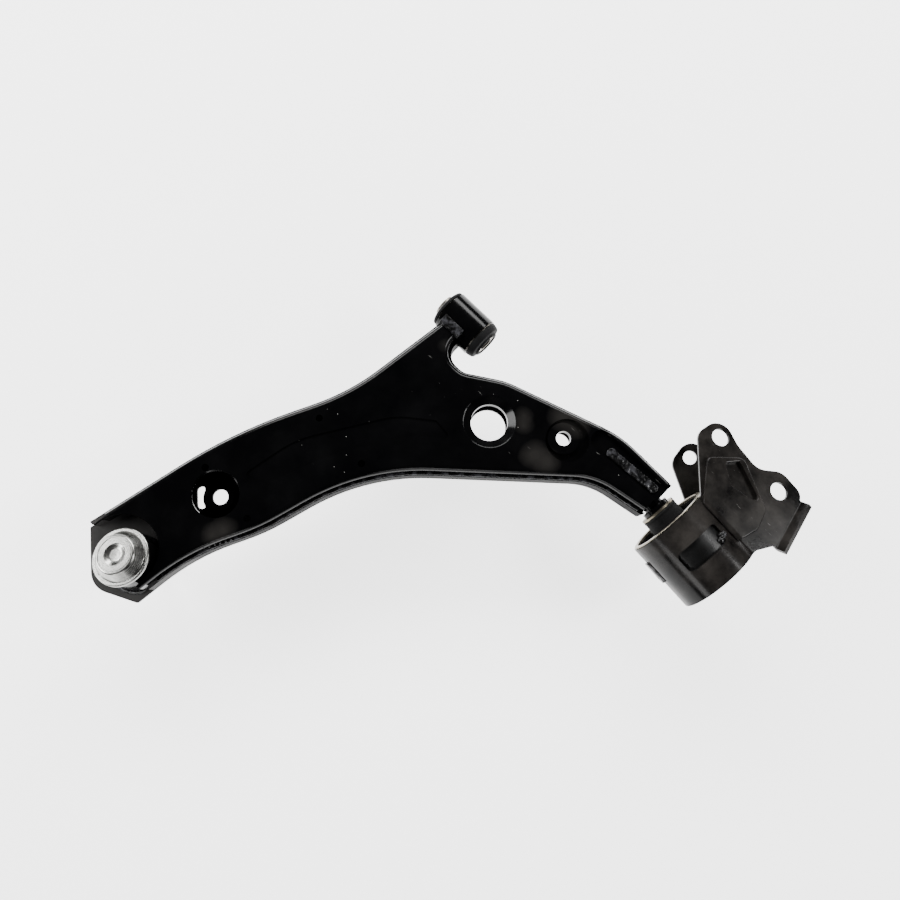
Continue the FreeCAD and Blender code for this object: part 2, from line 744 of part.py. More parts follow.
def build_ball_stud():
    ball = size("ball_radius")
    neck = size("stud_neck_radius")
    neck_top = -math.sqrt(ball * ball - neck * neck)
    taper_top = -41.0
    taper_end = taper_top - size("stud_taper_length")
    tip = taper_end - size("stud_thread_length")
    thread = size("stud_thread_radius")
    body = new_body("ball_stud")
    sketch = sketch_on(body, "ball_stud_section", "XZ_Plane")
    shank = [
        Vector(neck, neck_top, 0), Vector(neck, -31.5, 0),
        Vector(size("stud_collar_radius"), -35.8, 0),
        Vector(size("stud_collar_radius"), taper_top, 0), Vector(size("stud_taper_radius"), taper_top, 0),
        Vector(size("stud_taper_small_radius"), taper_end, 0), Vector(thread, taper_end - 1, 0),
        Vector(thread, tip + 1.2, 0), Vector(thread - 1.2, tip, 0), Vector(0, tip, 0),
        Vector(0, ball, 0)]
    for start, end in zip(shank, shank[1:]):
        sketch.addGeometry(Part.LineSegment(start, end), False)
    sketch.addGeometry(Part.Arc(Vector(0, ball, 0), Vector(ball, 0, 0),
                                Vector(neck, neck_top, 0)), False)
    revolve(body, sketch, "ball_stud_turning")
    hole = sketch_on(body, "cotter_hole", "XZ_Plane")
    draw_circle(hole, 0, tip + 5, size("cotter_hole_radius"), "sizes.cotter_hole_radius")
    pocket(body, hole, "cotter_hole_cut", "4 * sizes.stud_thread_radius", both_ways=True)
    keep(body, "ball_stud", STUD)


def build_boot():
    """Dust boot lofted from the housing's nose to the stud's collar, and its two clips."""
    nose = size("housing_nose_radius") + 0.35
    collar = size("stud_collar_radius") + 0.35
    wall = 1.4
    lean = (size("ball_joint_lean") + size("stud_lean")) / 2
    middle = FreeCAD.Placement(STUD.Base, FreeCAD.Rotation(Vector(0, 1, 0), lean))
    rings = [(JOINT, -39.4, nose), (JOINT, -43.6, nose), (JOINT, -47.0, nose + 2.6),
             (middle, -31.0, nose - 0.6), (STUD, -35.4, collar + 2.6), (STUD, -36.6, collar),
             (STUD, -40.8, collar)]
    outer, inner = [], []
    for frame, level, radius in rings:
        centre = frame.multVec(Vector(0, 0, level))
        axis = frame.Rotation.multVec(Vector(0, 0, 1))
        outer.append(Part.Wire(Part.makeCircle(radius + wall, centre, axis)))
        inner.append(Part.Wire(Part.makeCircle(radius, centre, axis)))
    boot = doc.addObject("Part::Feature", "dust_boot")
    boot.Shape = Part.makeLoft(outer, True, True).cut(Part.makeLoft(inner, True, True))
    keep(boot, "ball_joint_dust_boot")
    tube("boot_clip_wide", "boot_clip_at_housing", "sizes.housing_nose_radius + 3",
         "sizes.housing_nose_radius + 1.8", "2", -42.4, JOINT)
    tube("boot_clip_narrow", "boot_clip_at_stud", "sizes.stud_collar_radius + 2.9",
         "sizes.stud_collar_radius + 1.8", "1.6", -39.8, STUD)


build_ball_joint()
build_ball_stud()
build_boot()


# ---------------------------------------------------------------- rear pin and bush

def build_rear_pin():
    half = size("rear_half_length")
    pin = size("rear_pin_radius")
    spigot = size("rear_spigot_radius")
    thread = 6.0
    turned("rear_pin", "rear_pin", [
        (0, half + 88, 0), (pin - 1.5, half + 88, 0), (pin, half + 86.5, 0), (pin, half + 17.5, 0),
        (12.5, half + 17.0, 0), (12.5, half + 13.6, 0.5), (spigot, half + 13.6, 0),
        (spigot, 16 - half, 0), (thread, 16 - half, 0), (thread, -half - 1.0, 0),
        (thread - 1, -half - 2.0, 0), (0, -half - 2.0, 0)], REAR)
    tube("rear_washer", "rear_bush_front_washer", "16.6", "sizes.rear_spigot_radius + 0.05",
         "1.6", half + 11.9, REAR)
    inner_length = "2 * sizes.rear_half_length - 4.2"
    tube("rear_inner_sleeve", "rear_bush_inner_sleeve", "sizes.rear_inner_sleeve_radius",
         "sizes.rear_spigot_radius + 0.05", inner_length, 16 - half, REAR)
    build_rear_nut(half)
    sleeve = size("rear_inner_sleeve_radius")
    turned("rear_inner_rubber", "rear_bush_inner_rubber", [
        (sleeve + 0.02, half + 11.8, 0), (15.4, half + 11.8, 0.6), (16.4, half + 4, 4),
        (17.8, half - 7, 1.2), (sleeve + 0.02, half - 7, 0)], REAR)
    wall = size("rear_rubber_radius") - 0.02
    turned("rear_main_rubber", "rear_bush_main_rubber", [
        (sleeve + 0.06, half - 7.6, 0), (18.0, half - 7.6, 1.5), (21.5, half - 16, 5),
        (28.0, half - 16, 4), (wall, half - 7, 0), (wall, 7 - half, 0), (28.0, 16 - half, 4),
        (21.5, 16 - half, 4), (18.0, 18 - half, 0), (sleeve + 0.06, 18 - half, 0)], REAR)
    rubber = size("rear_rubber_radius")
    shell = size("rear_outer_sleeve_radius")
    rim = size("rear_rim_radius")
    turned("rear_outer_sleeve", "rear_bush_outer_sleeve", [
        (rubber, half + 1.4, 0.5), (rim, half + 1.4, 0.6), (rim, half + 0.1, 0.4),
        (shell, half + 0.1, 0), (shell, 1 - half, 0), (rubber, 1 - half, 0)], REAR)


def build_rear_nut(half):
    """Hexagon nut on the end of the pin, sunk inside the bush."""
    body = new_body("rear_nut")
    across = 9.5 / math.cos(math.pi / 6)
    sketch = sketch_on(body, "rear_nut_plan", offset=3.6 - half)
    hexagon = []
    for step in range(6):
        angle = step * math.pi / 3
        hexagon.append((across * math.cos(angle), across * math.sin(angle), 0))
    draw(sketch, hexagon)
    draw_circle(sketch, 0, 0, 6.05)
    pad(body, sketch, "rear_nut_height", "9.5")
    keep(body, "rear_pin_nut", REAR)
    tube("rear_nut_washer", "rear_pin_nut_washer", "15", "6.3", "2.4", 13.4 - half, REAR)


build_rear_pin()


# ---------------------------------------------------------------- rear bracket

def polar(radius, degrees):
    angle = math.radians(degrees)
    return Vector(radius * math.cos(angle), radius * math.sin(angle), 0)


def wrapped_section(sketch, start, turn_off, slope, reach):
    """Half ring round the bush that runs on into a flat plate towards the body side.

    start and turn_off are the ring's angles; slope is the plate's angle; reach its length.
    """
    inner = size("rear_outer_sleeve_radius") + 0.05
    outer = inner + size("bracket_thickness")
    middle = (start + turn_off) / 2
    side = 1 if turn_off > start else -1
    run = Vector(-math.cos(math.radians(slope)), -math.sin(math.radians(slope)), 0)
    down = Vector(-run.y, run.x, 0) * side
    bend = polar(outer, turn_off)
    tip = bend + run * reach
    tip_below = tip + down * size("bracket_thickness")
    foot = bend + down * size("bracket_thickness")
    along = foot.dot(run)
    inner_meet = foot - run * (along - math.sqrt(along ** 2 - foot.dot(foot) + inner ** 2))
    end_angle = math.degrees(math.atan2(inner_meet.y, inner_meet.x))
    if side < 0 and end_angle > 0:
        end_angle -= 360
    inner_middle = (start + end_angle) / 2
    first, last = polar(outer, start), polar(inner, start)
    sketch.addGeometry(Part.Arc(first, polar(outer, middle), bend), False)
    sketch.addGeometry(Part.LineSegment(bend, tip), False)
    sketch.addGeometry(Part.LineSegment(tip, tip_below), False)
    sketch.addGeometry(Part.LineSegment(tip_below, inner_meet), False)
    sketch.addGeometry(Part.Arc(inner_meet, polar(inner, inner_middle), last), False)
    sketch.addGeometry(Part.LineSegment(last, first), False)


# Plan of the bracket in the rear frame: distance outboard, distance forward, corner round.
UPPER_PLAN = [
    (45, 32, 0), (-28.5, 32, 4), (-68, 72, 13), (-97, 68, 14), (-88, 40, 24), (-86, 14, 16),
    (-101.5, -2, 15), (-100.5, -26, 10), (-92, -31.3, 0), (-49, -41, 3), (-31, -31.5, 6), (45, -31.5, 0)]
LOWER_PLAN = [
    (45, 32, 0), (-31.5, 32, 4), (-46, 66, 13), (-74, 72, 12), (-75, 42, 20), (-70, 20, 6),
    (-72, -28, 6), (45, -31.5, 0)]
EDGE_OF_BLANK = [(-130, -80, 0), (70, -80, 0), (70, 110, 0), (-130, 110, 0)]


def plan_sketch(body, name, *outlines):
    """Sketch seen from above the bush: the plan's second coordinate runs forward."""
    sketch = sketch_on(body, name, "XZ_Plane")
    for outline in outlines:
        draw(sketch, outline)
    return sketch


def bracket_hole(body, name, x, forward, level, slope, radius):
    """Bolt hole square to a plate of this slope; level is the plate's middle there."""
    sketch = sketch_on(body, name, "XZ_Plane")
    sketch.AttachmentOffset = FreeCAD.Placement(
        Vector(x, forward, -level), FreeCAD.Rotation(Vector(0, 1, 0), slope))
    draw_circle(sketch, 0, 0, size(radius), "sizes." + radius)
    pocket(body, sketch, name + "_cut", "20", both_ways=True)


def bend_round(body, bend):
    """Press radius where the plate leaves the ring."""
    edges = []
    for number, edge in enumerate(body.Shape.Edges, start=1):
        box = edge.BoundBox
        upright = box.ZLength > 4 and box.XLength < 0.01 and box.YLength < 0.01
        if upright and abs(box.XMin - bend.x) < 0.05 and abs(box.YMin - bend.y) < 0.05:
            edges.append("Edge%d" % number)
    base = body.Tip
    fillet = body.newObject("PartDesign::Fillet", "bend_round")
    fillet.Base = (base, edges)
    fillet.Radius = 5
    body.Tip = fillet
    doc.recompute()


def round_rib(body, bend, rise, fall):
    """Press radius along the upper edges of the rib and its recess."""
    edges = []
    for number, edge in enumerate(body.Shape.Edges, start=1):
        heights = [v.Point.y - bend.y - rise - (v.Point.x - bend.x) * fall for v in edge.Vertexes]
        outward = [v.Point.x for v in edge.Vertexes]
        if max(abs(height) for height in heights) < 0.6 and max(outward) < bend.x - 4:
            edges.append("Edge%d" % number)
    base = body.Tip
    fillet = body.newObject("PartDesign::Fillet", "rib_round")
    fillet.Base = (base, edges)
    fillet.Radius = 1.2
    body.Tip = fillet
    doc.recompute()


def end_flange(body, bend, fall):
    """Lip folded up along the plate's rear edge, which slants towards the bush."""
    first, slant, length = -95.0, -0.23, 49
    thick = size("bracket_thickness")
    top = bend.y + (first - bend.x) * fall
    section = sketch_on(body, "end_flange_section", "YZ_Plane", first)
    draw(section, [(top - thick, -28, 0), (top - thick, -33.4, 4), (top + 8, -38.4, 0),
                   (top + 8, -35.4, 0), (top, -30.9, 1.2), (top, -28, 0)])
    feature = body.newObject("PartDesign::Pad", "end_flange")
    feature.Profile = section
    feature.UseCustomVector = True
    feature.Direction = Vector(1, fall, slant)
    feature.Length = length
    body.Tip = feature
    doc.recompute()


def build_bracket_weld():
    """Bead that joins the two bracket stampings outboard of the bush."""
    body = new_body("bracket_weld")
    ring = size("rear_outer_sleeve_radius") + 0.07 + size("bracket_thickness")
    sketch = sketch_on(body, "bracket_weld_section", offset=-4)
    draw(sketch, [(ring - 0.6, -8.2, 0), (ring + 1.4, -6.5, 1), (ring + 1.8, 0.5, 1),
                  (ring + 0.02, 3.2, 0)])
    pad(body, sketch, "bracket_weld_bead", "22")
    hollow = sketch_on(body, "bracket_weld_seat", offset=-5)
    draw_circle(hollow, 0, 0, ring)
    pocket(body, hollow, "bracket_weld_seat_cut", "30", reverse=True)
    keep(body, "bracket_seam_weld", REAR)


def build_upper_bracket():
    body = new_body("upper_bracket")
    slope = size("ear_tilt")
    start, turn_off = -3.0, 134.0
    outer = size("rear_outer_sleeve_radius") + 0.05 + size("bracket_thickness")
    bend = polar(outer, turn_off)
    fall = math.tan(math.radians(slope))
    rise = size("rib_height")
    rib = sketch_on(body, "rib_section", offset=-25)
    far = 58.0
    draw(rib, [(bend.x + 8, bend.y, 0), (bend.x + 8, bend.y + rise, 0), (bend.x - 2, bend.y + rise, 6),
               (bend.x - far, bend.y + rise - far * fall, 0), (bend.x - far, bend.y - far * fall - 1, 0),
               (bend.x - 2, bend.y - 1.5, 0)])
    pad(body, rib, "rib_pad", "80")
    outline = [(-57, 52, 5), (-82, 30, 7), (-63, -14, 7), (-44, -20, 5), (-24, -15, 3), (-24, 27, 3)]
    recess = [(-65.5, 37.5, 2), (-77, 29.5, 2), (-63, -8.5, 3), (-54.5, 20, 3)]
    pocket(body, plan_sketch(body, "rib_plan", EDGE_OF_BLANK, outline), "rib_plan_cut", "200",
           both_ways=True)
    pocket(body, plan_sketch(body, "rib_recess", recess), "rib_recess_cut", "200", both_ways=True)
    round_rib(body, bend, rise, fall)
    section = sketch_on(body, "bracket_section", offset=-60)
    wrapped_section(section, start, turn_off, slope, 80)
    pad(body, section, "bracket_pad", "150")
    pocket(body, plan_sketch(body, "bracket_plan", EDGE_OF_BLANK, UPPER_PLAN), "bracket_plan_cut",
           "200", both_ways=True)
    bend_round(body, bend)
    end_flange(body, bend, fall)
    half_sheet = size("bracket_thickness") / 2 / math.cos(math.radians(slope))
    for name, x, forward in (("front_ear_hole", -81.0, 55.5), ("rear_ear_hole", -86.0, -11.5)):
        level = bend.y + (x - bend.x) * fall - half_sheet
        bracket_hole(body, name, x, forward, level, slope, "ear_bolt_radius")
    window = sketch_on(body, "window", "XZ_Plane")
    draw(window, [(-18, 10.5, 4), (24, 10.5, 5), (24, -8.5, 5), (-18, -8.5, 8)])
    pocket(body, window, "window_cut", "60")
    keep(body, "rear_bracket_upper", REAR)


def build_lower_bracket():
    body = new_body("lower_bracket")
    section = sketch_on(body, "lower_section", offset=-60)
    slope = -8.0
    turn_off = -140.0
    wrapped_section(section, -5.0, turn_off, slope, 60)
    pad(body, section, "lower_pad", "150")
    pocket(body, plan_sketch(body, "lower_plan", EDGE_OF_BLANK, LOWER_PLAN), "lower_plan_cut",
           "200", both_ways=True)
    outer = size("rear_outer_sleeve_radius") + 0.05 + size("bracket_thickness")
    bend = polar(outer, turn_off)
    x = -61.0
    half_sheet = size("bracket_thickness") / 2 / math.cos(math.radians(slope))
    level = bend.y + (x - bend.x) * math.tan(math.radians(slope)) + half_sheet
    bracket_hole(body, "lower_ear_hole", x, 57.5, level, slope, "lower_ear_bolt_radius")
    keep(body, "rear_bracket_lower", REAR)


build_upper_bracket()
build_lower_bracket()
build_bracket_weld()


# ---------------------------------------------------------------- tests and files

doc.recompute()
for thing in doc.Objects:
    if "Invalid" in thing.State or "Error" in thing.State:
        raise ValueError("%s did not build: %s" % (thing.Name, thing.State))
for node in nodes:
    shape = node.Shape
    if shape.isNull() or not shape.isValid():
        raise ValueError(node.Label + " has no valid shape")
    shape.exportStep("parts/%s.step" % node.Label)
    print(node.Label, len(shape.Solids), round(shape.Volume), shape.BoundBox)
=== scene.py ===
import json
import math
import random

import bmesh
import bpy
from mathutils import Matrix, Vector


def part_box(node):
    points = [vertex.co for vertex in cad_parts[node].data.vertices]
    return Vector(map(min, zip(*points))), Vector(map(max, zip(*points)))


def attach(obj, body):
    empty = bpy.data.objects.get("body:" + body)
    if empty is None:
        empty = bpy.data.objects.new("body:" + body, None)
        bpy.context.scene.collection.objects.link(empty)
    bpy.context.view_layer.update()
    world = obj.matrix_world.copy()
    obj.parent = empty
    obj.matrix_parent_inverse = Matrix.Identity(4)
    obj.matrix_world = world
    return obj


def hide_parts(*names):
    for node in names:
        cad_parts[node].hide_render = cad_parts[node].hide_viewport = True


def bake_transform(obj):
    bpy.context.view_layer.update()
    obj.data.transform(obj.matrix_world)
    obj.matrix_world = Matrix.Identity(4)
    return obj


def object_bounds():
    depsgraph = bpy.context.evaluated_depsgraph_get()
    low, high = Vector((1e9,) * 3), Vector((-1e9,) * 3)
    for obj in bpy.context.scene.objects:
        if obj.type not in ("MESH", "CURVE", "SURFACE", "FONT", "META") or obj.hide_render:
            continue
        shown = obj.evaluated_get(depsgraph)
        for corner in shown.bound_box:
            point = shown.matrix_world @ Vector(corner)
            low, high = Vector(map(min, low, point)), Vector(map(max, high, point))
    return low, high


# Looks of the front lower control arm: materials for the CAD pieces, and rounder rubber,
# boot, stud, clips and weld beads in place of the plain ones. Sizes of pieces are in
# millimetres. Those of the floor, the lights and the camera are in metres.

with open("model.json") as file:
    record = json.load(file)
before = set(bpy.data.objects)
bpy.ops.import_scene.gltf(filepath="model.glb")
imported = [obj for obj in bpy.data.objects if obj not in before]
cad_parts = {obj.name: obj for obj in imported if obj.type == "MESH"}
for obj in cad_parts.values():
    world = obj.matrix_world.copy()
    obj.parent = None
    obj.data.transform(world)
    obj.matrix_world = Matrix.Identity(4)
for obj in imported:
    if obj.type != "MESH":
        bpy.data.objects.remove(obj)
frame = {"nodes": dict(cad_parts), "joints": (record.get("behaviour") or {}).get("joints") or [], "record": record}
cad_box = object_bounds()

MM = 0.001
nodes = frame["nodes"]
joints = {joint["name"]: joint for joint in frame["joints"]}
mounts = {mount["name"]: mount for mount in frame["record"]["mounts"]}


# ---------------------------------------------------------------- axes of the object

def node_middle(node):
    low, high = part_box(node)
    return (low + high) / 2


class Axis:
    """A line to turn pieces round: at(distance, radius, angle) is a point beside it."""

    def __init__(self, origin, direction):
        self.origin = Vector(origin)
        self.along = Vector(direction).normalized()
        self.side = self.along.orthogonal().normalized()
        self.other = self.along.cross(self.side)

    def at(self, distance, radius=0.0, angle=0.0):
        outward = self.side * math.cos(angle) + self.other * math.sin(angle)
        return self.origin + self.along * distance + outward * radius


BALL = Vector(joints["ball_joint_stud_spin"]["pos_m"])
STUD = Axis(BALL, mounts["stud_thread"]["axis"])
HOUSING = Axis(BALL, BALL - node_middle("ball_joint_cap"))
FRONT = Axis((0, 0, 0), (1, 0, 0))
REAR = Axis(joints["rear_bush_twist"]["pos_m"], joints["rear_bush_twist"]["axis"])


# ---------------------------------------------------------------- materials

class Shader:
    """Builds one node material, with its texture coordinates in metres on the object."""

    def __init__(self, name, **settings):
        self.material = bpy.data.materials.new(name)
        self.material.use_nodes = True
        self.tree = self.material.node_tree
        self.surface = self.tree.nodes["Principled BSDF"]
        for socket, value in settings.items():
            self.surface.inputs[socket.replace("_", " ")].default_value = value
        self.where = self.tree.nodes.new("ShaderNodeTexCoord").outputs["Object"]

    def add(self, kind, links=None, **values):
        node = self.tree.nodes.new(kind)
        for key, value in values.items():
            setattr(node, key, value)
        for socket, source in (links or {}).items():
            if isinstance(source, bpy.types.NodeSocket):
                self.tree.links.new(source, node.inputs[socket])
            else:
                node.inputs[socket].default_value = source
        return node

    def stretched(self, scale):
        return self.add("ShaderNodeMapping", {"Vector": self.where, "Scale": scale}).outputs["Vector"]

    def noise(self, scale, detail=4.0, rough=0.55, where=None):
        texture = self.add("ShaderNodeTexNoise", {"Vector": where or self.where, "Scale": scale,
                                                  "Detail": detail, "Roughness": rough})
        return texture.outputs["Fac"]

    def cells(self, scale, where=None):
        texture = self.add("ShaderNodeTexVoronoi", {"Vector": where or self.where, "Scale": scale})
        return texture.outputs["Distance"], texture.outputs["Color"]

    def level(self, source, low, high, start=0.0, end=1.0):
        """Maps source from low..high to start..end, held at both ends."""
        node = self.add("ShaderNodeMapRange", {"Value": source, "From Min": low, "From Max": high,
                                               "To Min": start, "To Max": end})
        return node.outputs["Result"]

    def product(self, first, second):
        return self.add("ShaderNodeMath", {0: first, 1: second}, operation="MULTIPLY").outputs["Value"]

    def highest(self, first, second):
        return self.add("ShaderNodeMath", {0: first, 1: second}, operation="MAXIMUM").outputs["Value"]

    def sum(self, first, second):
        return self.add("ShaderNodeMath", {0: first, 1: second}, operation="ADD").outputs["Value"]

    def mix(self, factor, first, second):
        node = self.add("ShaderNodeMix", {"Factor": factor}, data_type="RGBA")
        for index, value in ((6, first), (7, second)):
            if isinstance(value, bpy.types.NodeSocket):
                self.tree.links.new(value, node.inputs[index])
            else:
                node.inputs[index].default_value = (*value, 1.0)
        return node.outputs[2]

    def use(self, socket, source):
        self.tree.links.new(source, self.surface.inputs[socket])

    def bump(self, height, depth, distance=MM, before=None):
        links = {"Height": height, "Strength": depth, "Distance": distance}
        if before:
            links["Normal"] = before
        return self.add("ShaderNodeBump", links).outputs["Normal"]


DUST = (0.42, 0.41, 0.39)


def black_paint(name, colour, gloss, roughness, flecks, haze, painted_light_places=(), painted_light_colour=None):
    """Dipped black paint: orange peel, smoky patches of haze, dust flecks and short scuffs.

    gloss is the paint's index of refraction. flecks is the share of the dust cells that
    stay clean. The last two arguments give places (x, y, z, radius) and a lighter colour
    painted round them: painted light, standing for light caught on dishes and slopes.
    """
    shader = Shader(name, Metallic=0.0, IOR=gloss)
    smoke = shader.noise(28.0, 5.0, 0.6)
    dust_distance, dust_pick = shader.cells(420.0)
    chosen = shader.add("ShaderNodeSeparateColor", {"Color": dust_pick}).outputs["Red"]
    speck = shader.product(shader.level(dust_distance, 0.16, 0.07),
                           shader.level(chosen, flecks, flecks + 0.01))
    streak_place = shader.stretched((1.0, 5.5, 1.0))
    streak = shader.noise(75.0, 3.0, 0.5, streak_place)
    gate = shader.noise(16.0, 2.0, 0.5)
    scuff = shader.product(shader.level(streak, 0.70, 0.78), shader.level(gate, 0.52, 0.62))
    marks = shader.highest(speck, shader.product(scuff, 0.35))
    tone_and_painted_light = shader.mix(shader.level(smoke, 0.38, 0.72), colour, haze)
    # Patches of painted light: round each place the colour turns, with a ragged edge, to a lighter one that stands
    # for light caught there.
    for x, y, z, radius in painted_light_places:
        place = Vector((x, y, z)) * MM
        apart = shader.add("ShaderNodeVectorMath", {0: shader.where, 1: place}, operation="DISTANCE")
        ragged = shader.sum(apart.outputs["Value"], shader.product(smoke, 14 * MM))
        painted_light_share = shader.level(ragged, (radius + 13) * MM, (radius + 1) * MM)
        tone_and_painted_light = shader.mix(painted_light_share, tone_and_painted_light, painted_light_colour)
    shader.use("Base Color", shader.mix(marks, tone_and_painted_light, DUST))
    base_rough = shader.level(smoke, 0.3, 0.7, roughness, roughness + 0.08)
    shader.use("Roughness", shader.highest(base_rough, shader.product(marks, 0.8)))
    peel = shader.noise(620.0, 2.0, 0.5)
    dents = shader.noise(70.0, 2.0, 0.5)
    soft = shader.bump(dents, 0.15, 0.5 * MM)
    shader.use("Normal", shader.bump(peel, 0.10, 0.25 * MM, soft))
    return shader.material


def weld_metal(name, colour, bare):
    """Weld bead under paint, with greyer crests where the paint is thinner."""
    shader = Shader(name, Metallic=0.0, IOR=1.3, Coat_Weight=0.15, Coat_Roughness=0.2)
    lumps = shader.noise(420.0, 4.0, 0.6)
    patches = shader.noise(150.0, 3.0, 0.5)
    crest = shader.product(shader.level(patches, 0.5, 0.62), bare)
    shader.use("Base Color", shader.mix(crest, colour, (0.045, 0.045, 0.05)))
    shader.use("Roughness", shader.level(lumps, 0.3, 0.7, 0.18, 0.40))
    shader.use("Normal", shader.bump(lumps, 0.5, 0.5 * MM))
    return shader.material


def rubber(name, colour):
    """Moulded rubber with a fine matt grain and patches of bloom."""
    shader = Shader(name, Metallic=0.0, IOR=1.22)
    bloom = shader.noise(60.0, 5.0, 0.6)
    grain = shader.noise(1900.0, 2.0, 0.5)
    shader.use("Base Color", shader.mix(shader.level(bloom, 0.35, 0.75), colour,
                                        [c * 2.0 + 0.002 for c in colour]))
    shader.use("Roughness", shader.level(bloom, 0.3, 0.7, 0.55, 0.78))
    shader.use("Normal", shader.bump(grain, 0.35, 0.15 * MM))
    return shader.material


def plated_steel(name, colour, roughness, axis):
    """Turned steel: fine rings round the axis, with faint stains."""
    shader = Shader(name, Metallic=1.0)
    shifted = shader.add("ShaderNodeMapping", {"Vector": shader.where, "Location": -axis.origin})
    across = shader.add("ShaderNodeVectorMath", {0: shifted.outputs["Vector"], 1: axis.along},
                        operation="CROSS_PRODUCT")
    radius = shader.add("ShaderNodeVectorMath", {0: across.outputs["Vector"]}, operation="LENGTH")
    rings = shader.add("ShaderNodeTexNoise",
                       {"W": radius.outputs["Value"], "Scale": 2600.0, "Detail": 3.0},
                       noise_dimensions="1D")
    stains = shader.noise(90.0, 4.0, 0.6)
    dark = [c * 0.62 for c in colour]
    shader.use("Base Color", shader.mix(shader.level(stains, 0.4, 0.72), colour, dark))
    shader.use("Roughness", shader.sum(shader.level(stains, 0.3, 0.7, roughness, roughness + 0.14),
                                       shader.level(rings.outputs["Fac"], 0.3, 0.7, 0.0, 0.12)))
    shader.use("Normal", shader.bump(rings.outputs["Fac"], 0.22, 0.12 * MM))
    return shader.material


def painted_sleeve(name, paint, metal, edge):
    """Black dip paint that stops, edge metres along the rear axis, short of the bare rim."""
    shader = Shader(name, IOR=1.5)
    shifted = shader.add("ShaderNodeVectorMath", {0: shader.where, 1: REAR.origin},
                         operation="SUBTRACT")
    along = shader.add("ShaderNodeVectorMath", {0: shifted.outputs["Vector"], 1: REAR.along},
                       operation="DOT_PRODUCT").outputs["Value"]
    ragged = shader.product(shader.noise(160.0, 3.0, 0.6), 1.6 * MM)
    bare = shader.level(shader.sum(along, ragged), edge, edge + 0.8 * MM)
    smoke = shader.noise(60.0, 4.0, 0.6)
    shader.use("Base Color", shader.mix(bare, paint, metal))
    shader.use("Metallic", bare)
    shader.use("Roughness", shader.level(smoke, 0.3, 0.7, 0.24, 0.38))
    shader.use("Normal", shader.bump(shader.noise(620.0, 2.0, 0.5), 0.12, 0.25 * MM))
    return shader.material


def moulded_plastic(name, colour):
    """Smooth plastic with a faint cloud in its colour."""
    shader = Shader(name, Metallic=0.0, IOR=1.48)
    grain = shader.noise(800.0, 3.0, 0.5)
    cloud = shader.noise(70.0, 3.0, 0.5)
    shader.use("Base Color", shader.mix(shader.level(cloud, 0.3, 0.7), colour,
                                        [c * 0.9 for c in colour]))
    shader.use("Roughness", shader.level(cloud, 0.3, 0.7, 0.4, 0.55))
    shader.use("Normal", shader.bump(grain, 0.15, 0.1 * MM))
    return shader.material


def floor_paper(name):
    """White sheet of a light table, lit from below."""
    shader = Shader(name, Metallic=0.0, Roughness=0.9, Emission_Strength=2.8)
    grain = shader.noise(300.0, 3.0, 0.5)
    paper = shader.mix(grain, (0.88, 0.88, 0.88), (0.92, 0.92, 0.92))
    shader.use("Base Color", paper)
    shader.use("Emission Color", paper)
    return shader.material


# Places (x, y, z, radius) of painted light, a lighter colour standing for light caught on the metal: round the
# rear hole, beside the centre hole, beside the outer hole and beside the front notch; then the tray's floor at the
# ball joint.
PAINTED_LIGHT_ON_PLATE = [
    (-127, 4, 14, 9), (-139, 1, 14, 8), (-131, 46, 14, 9), (-143, 43, 14, 8),
    (-107, 34, 14, 4), (-101, 27, 14, 3),
    (10, 277, 14, 7), (14, 286, 14, 6),
    (-8, 30, 14, 3)]
PAINTED_LIGHT_ON_TRAY = [(*(BALL / MM), 52)]
# The last colour given to the gloss paint and to the tray paint is painted light, laid round the patches above.
PAINT = black_paint("gloss_black_dip_paint_with_painted_light", (0.0010, 0.0010, 0.0012), 1.25, 0.12, 0.988,
                    (0.0024, 0.0024, 0.0026), PAINTED_LIGHT_ON_PLATE, (0.016, 0.015, 0.014))
TRAY_PAINT = black_paint("tray_dip_paint_with_painted_light", (0.0010, 0.0010, 0.0012), 1.08, 0.42,
                         0.990, (0.0024, 0.0024, 0.0026), PAINTED_LIGHT_ON_TRAY, (0.050, 0.049, 0.048))
COAT = black_paint("satin_black_bracket_coat", (0.0018, 0.0017, 0.0017), 1.24, 0.16, 0.992,
                   (0.030, 0.027, 0.0245))
WELD = weld_metal("painted_weld", (0.0022, 0.0022, 0.0023), 0.8)
RUBBER = rubber("moulded_black_rubber", (0.003, 0.003, 0.003))
SOFT_RUBBER = rubber("grey_bush_rubber", (0.0032, 0.0032, 0.0034))
ZINC = plated_steel("zinc_plated_cap", (0.36, 0.36, 0.345), 0.13, HOUSING)
JOINT_STEEL = plated_steel("phosphated_joint_steel", (0.20, 0.20, 0.20), 0.34, HOUSING)
STUD_STEEL = plated_steel("machined_stud_steel", (0.52, 0.51, 0.49), 0.22, STUD)
FRONT_STEEL = plated_steel("bright_front_sleeve", (0.27, 0.25, 0.22), 0.24, FRONT)
REAR_STEEL = plated_steel("passivated_rear_steel", (0.28, 0.25, 0.19), 0.26, REAR)
SLEEVE = painted_sleeve("dipped_rear_sleeve", (0.003, 0.003, 0.003), (0.26, 0.235, 0.19), 0.0315)
PLASTIC = moulded_plastic("bearing_plastic", (0.78, 0.76, 0.70))

